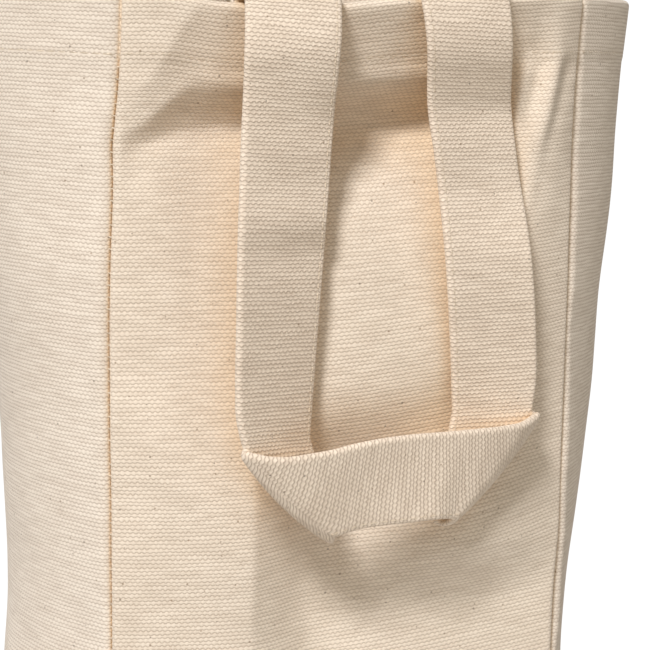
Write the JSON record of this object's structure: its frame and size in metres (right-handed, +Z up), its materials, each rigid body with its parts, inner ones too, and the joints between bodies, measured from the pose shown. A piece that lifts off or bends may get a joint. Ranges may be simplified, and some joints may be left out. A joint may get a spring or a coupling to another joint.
{
  "type": "bottle carrier bag",
  "caption": "Tall gusseted bag of natural heavy canvas that carries one bottle upright, with two cloth handles folded over the rim to hang down outside.",
  "frame": {"origin": "middle of the underside of the base panel, where the bag stands", "axes": "+Z up to the open mouth, -Y towards the front panel, +X along the front panel to the right as seen from the front"},
  "size_m": [0.184, 0.1586, 0.3326],
  "materials": {
    "canvas": "unbleached plain-weave cotton duck, matt, with seed flecks",
    "strap_canvas": "the same cotton duck folded into four layers and pressed, with rolled edges",
    "seam_edge": "raw canvas edges closed with overlock thread"
  },
  "bodies": {
    "bag": {"front_panel": "canvas", "back_panel": "canvas", "left_side_panel": "canvas", "right_side_panel": "canvas", "base_panel": "canvas", "base_seam": "seam_edge", "front_left_seam": "seam_edge", "front_right_seam": "seam_edge", "back_right_seam": "seam_edge", "back_left_seam": "seam_edge", "rim_hem": "canvas", "front_left_handle_end": "strap_canvas", "front_right_handle_end": "strap_canvas", "back_left_handle_end": "strap_canvas", "back_right_handle_end": "strap_canvas"},
    "front_handle": {"front_handle": "strap_canvas"},
    "back_handle": {"back_handle": "strap_canvas"}
  },
  "joints": [
    {"name": "front_handle_swing", "type": "hinge", "parent": "bag", "child": "front_handle", "pos_m": [0, -0.0515, 0.3315], "axis": [-1, 0, 0], "range_deg": [0, 180]},
    {"name": "back_handle_swing", "type": "hinge", "parent": "bag", "child": "back_handle", "pos_m": [0, 0.0515, 0.3315], "axis": [1, 0, 0], "range_deg": [0, 180]}
  ]
}
